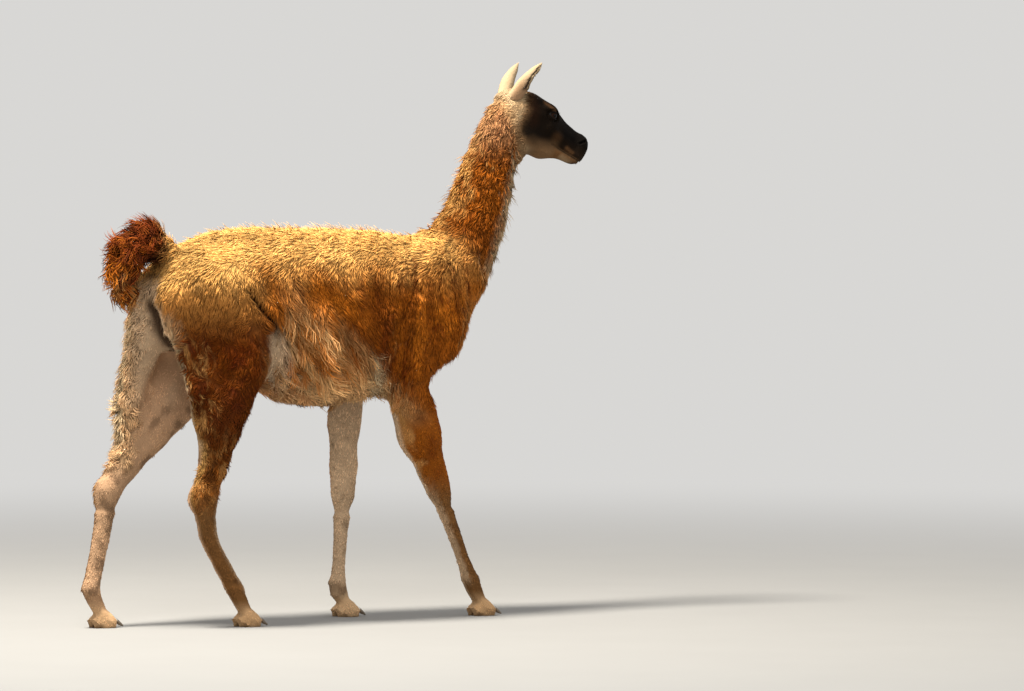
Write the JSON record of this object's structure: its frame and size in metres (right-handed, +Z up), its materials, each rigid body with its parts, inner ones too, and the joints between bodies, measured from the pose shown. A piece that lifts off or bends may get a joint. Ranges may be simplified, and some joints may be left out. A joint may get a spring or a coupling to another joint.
{
  "type": "guanaco",
  "caption": "life-size standing figure of a walking guanaco with an arched bushy tail, a long neck and upright ears, on two-toed feet",
  "frame": {"origin": "centre of the bounding box's underside, on the floor", "axes": "+X towards the head, +Y towards the animal's left side, +Z up"},
  "size_m": [1.6248, 0.391, 1.5959],
  "materials": {
    "coat": "matt woolly coat, ginger brown",
    "pale_coat": "matt short hair, cream to fawn",
    "tail_coat": "matt long hair, dark red brown",
    "face": "matt short hair, grey black",
    "nail": "dull horn",
    "eye": "wet gloss"
  },
  "bodies": {
    "root": {"torso": "coat", "neck": "coat", "tail": "tail_coat", "head": "face", "ear_right": "pale_coat", "eye_right": "eye", "hind_thigh_right": "coat", "hind_shank_right": "pale_coat", "fore_arm_right": "coat", "fore_shank_right": "pale_coat", "hind_foot_right": "pale_coat", "hind_nail_right_1": "nail", "hind_nail_right_2": "nail", "fore_foot_right": "pale_coat", "fore_nail_right_1": "nail", "fore_nail_right_2": "nail", "ear_left": "pale_coat", "eye_left": "eye", "hind_thigh_left": "coat", "hind_shank_left": "pale_coat", "fore_arm_left": "coat", "fore_shank_left": "pale_coat", "hind_foot_left": "pale_coat", "hind_nail_left_1": "nail", "hind_nail_left_2": "nail", "fore_foot_left": "pale_coat", "fore_nail_left_1": "nail", "fore_nail_left_2": "nail"}
  },
  "joints": []
}
